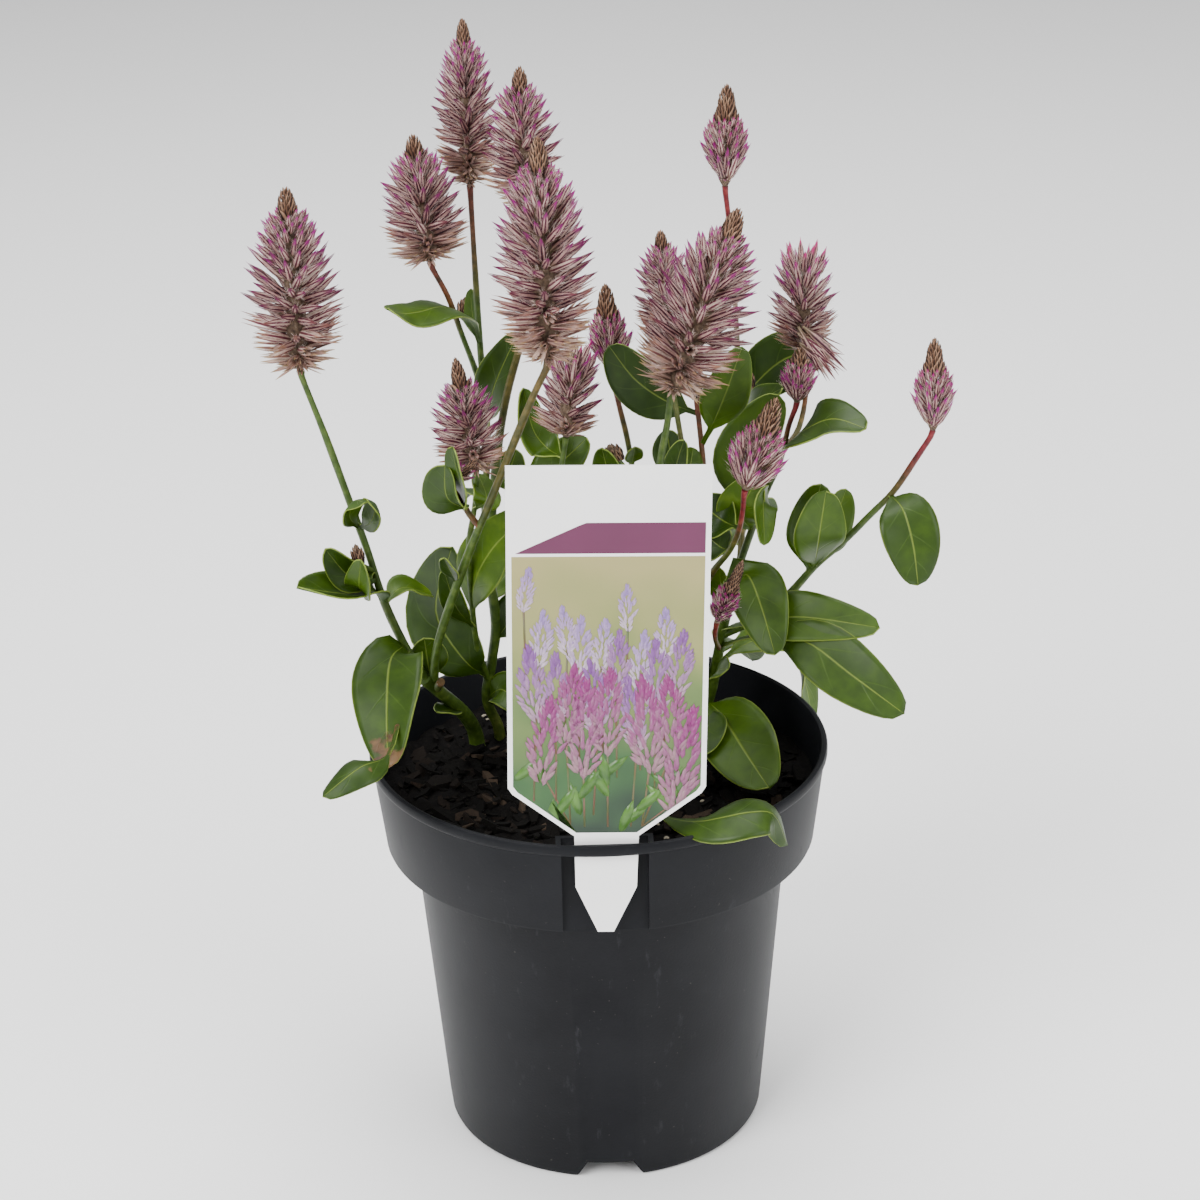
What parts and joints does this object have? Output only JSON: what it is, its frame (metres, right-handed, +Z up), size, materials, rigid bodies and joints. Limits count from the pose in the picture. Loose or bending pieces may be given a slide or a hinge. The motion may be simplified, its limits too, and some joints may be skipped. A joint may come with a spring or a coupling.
{
  "type": "potted mulla mulla",
  "caption": "Upright leafy perennial with bristly cone-shaped flower spikes, growing in a round nursery pot with a plant tag in its slot.",
  "frame": {"origin": "middle of the pot's underside, on the surface that it stands on", "axes": "+Z up the plant, -Y towards the front where the plant tag stands, +X to the right seen from the front"},
  "size_m": [0.2042, 0.143, 0.3418],
  "materials": {
    "pot_plastic": "charcoal, satin",
    "potting_mix": "dark loose bark and compost, rough",
    "tag_plastic": "white sheet plastic with a printed face",
    "foliage": "green leaves and stems, satin",
    "bloom": "mauve-grey hairy florets",
    "bud": "brown scaly buds"
  },
  "bodies": {
    "root": {"bud_back": "bud", "bud_blunt": "bud", "bud_left": "bud", "bud_middle": "bud", "bud_right": "bud", "plant_tag": "tag_plastic", "pot": "pot_plastic", "shoot_back": "foliage", "shoot_front": "foliage", "shoot_left": "foliage", "shoot_middle": "foliage", "shoot_right": "foliage", "soil": "potting_mix", "spike_behind": "bloom", "spike_far_right": "bloom", "spike_great": "bloom", "spike_leaning": "bloom", "spike_left": "bloom", "spike_low": "bloom", "spike_nodding": "bloom", "spike_orange": "bloom", "spike_pink": "bloom", "spike_screened": "bloom", "spike_shedding": "bloom", "spike_side": "bloom", "spike_slender": "bloom", "spike_tall": "bloom", "spike_tiny": "bloom", "spike_tucked": "bloom", "spike_under": "bloom"}
  },
  "joints": []
}
